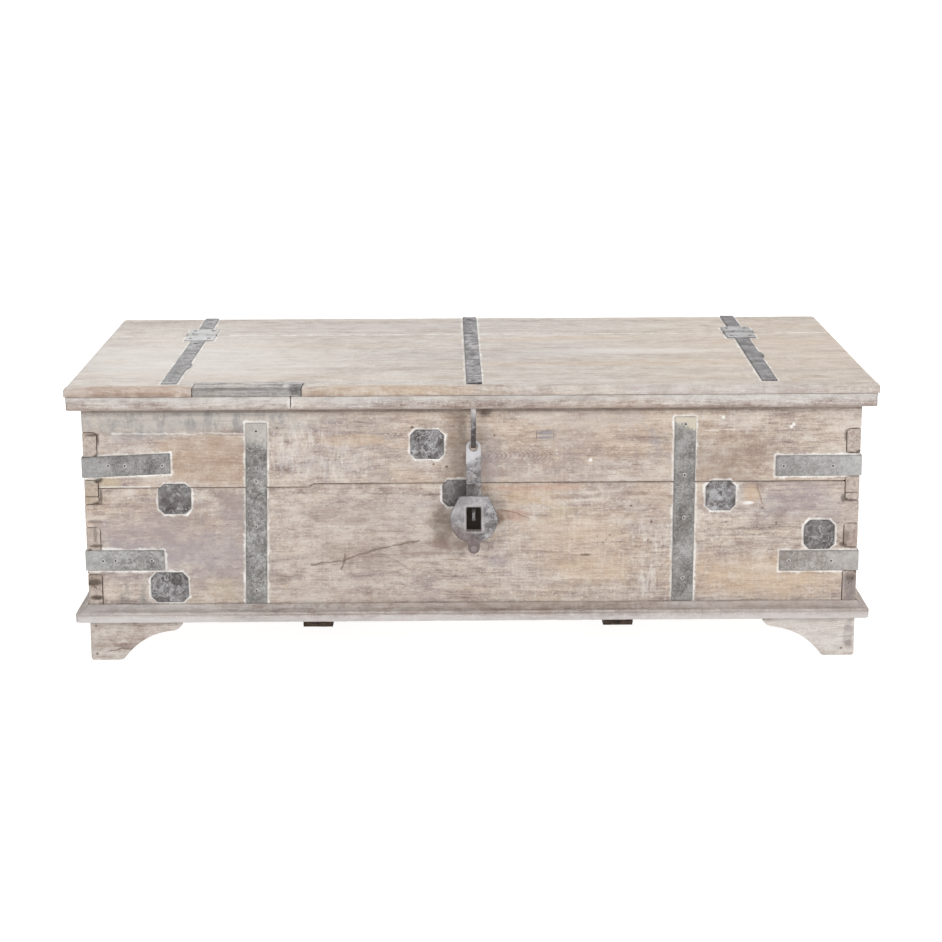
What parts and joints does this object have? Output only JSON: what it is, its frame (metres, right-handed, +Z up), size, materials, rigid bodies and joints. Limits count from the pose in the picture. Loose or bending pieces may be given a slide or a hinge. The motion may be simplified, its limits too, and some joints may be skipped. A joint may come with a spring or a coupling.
{
  "type": "wooden chest",
  "caption": "Low rectangular storage chest of limewashed boards with forged iron straps, patch plates, a hinged lid, a hanging hasp and bracket feet.",
  "frame": {"origin": "on the floor, under the middle of the chest", "axes": "+Z up, +X to the right seen from the front, and the front with the hasp faces -Y"},
  "size_m": [1.35, 0.65, 0.4835],
  "materials": {
    "limed_case_wood": "limewashed, worn, matte",
    "limed_top_wood": "limewashed, pale, matte",
    "raw_wood": "bare, dark, rough",
    "weathered_wood": "grey, weathered, rough",
    "forged_iron": "hammered, limewash residue, dull",
    "patch_iron": "hammered, darker, slight sheen"
  },
  "bodies": {
    "case": {"back_board_lower": "limed_case_wood", "back_board_upper": "limed_case_wood", "base_moulding_back": "limed_case_wood", "base_moulding_front": "limed_case_wood", "base_moulding_left": "limed_case_wood", "base_moulding_right": "limed_case_wood", "case_nails": "forged_iron", "centre_strap_rear": "forged_iron", "corner_strap_left_lower": "forged_iron", "corner_strap_left_upper": "forged_iron", "corner_strap_right_lower": "forged_iron", "corner_strap_right_upper": "forged_iron", "corner_straps_back": "forged_iron", "floor_battens": "raw_wood", "floor_planks": "raw_wood", "foot_back_left": "limed_case_wood", "foot_back_right": "limed_case_wood", "foot_blocks": "raw_wood", "foot_front_left": "limed_case_wood", "foot_front_right": "limed_case_wood", "foot_returns": "limed_case_wood", "front_board_lower": "limed_case_wood", "front_board_upper": "limed_case_wood", "front_plug": "weathered_wood", "front_strap_left": "forged_iron", "front_strap_right": "forged_iron", "hinge_leaf_rear_left": "forged_iron", "hinge_leaf_rear_right": "forged_iron", "hinge_pins": "forged_iron", "keeper_staple": "forged_iron", "left_board_lower": "limed_case_wood", "left_board_upper": "limed_case_wood", "patch_plate_behind_hasp": "patch_iron", "patch_plate_centre": "patch_iron", "patch_plate_left_lower": "patch_iron", "patch_plate_left_upper": "patch_iron", "patch_plate_right_lower": "patch_iron", "patch_plate_right_upper": "patch_iron", "right_board_lower": "limed_case_wood", "right_board_upper": "limed_case_wood", "top_plank_back": "limed_top_wood", "top_rim_back": "limed_top_wood", "top_rim_back_left": "limed_top_wood", "top_rim_back_right": "limed_top_wood"},
    "lid": {"centre_strap_front": "forged_iron", "hinge_leaf_front_left": "forged_iron", "hinge_leaf_front_right": "forged_iron", "lid_battens": "raw_wood", "lid_edge_patch": "weathered_wood", "lid_nails": "forged_iron", "lid_nosing": "limed_top_wood", "lid_plank_front": "limed_top_wood", "lid_plank_rear": "limed_top_wood", "lid_rim_front_left": "limed_top_wood", "lid_rim_front_right": "limed_top_wood", "lid_rim_left": "limed_top_wood", "lid_rim_right": "limed_top_wood", "lid_staple": "forged_iron"},
    "hasp": {"hasp_bar": "forged_iron", "hasp_plate": "forged_iron"}
  },
  "joints": [
    {"name": "lid_hinge", "type": "hinge", "parent": "case", "child": "lid", "pos_m": [0, 0.148, 0.4795], "axis": [-1, 0, 0], "range_deg": [0, 100]},
    {"name": "hasp_pivot", "type": "hinge", "parent": "lid", "child": "hasp", "pos_m": [0.002, -0.315, 0.382], "axis": [-1, 0, 0], "range_deg": [-4, 140]}
  ]
}
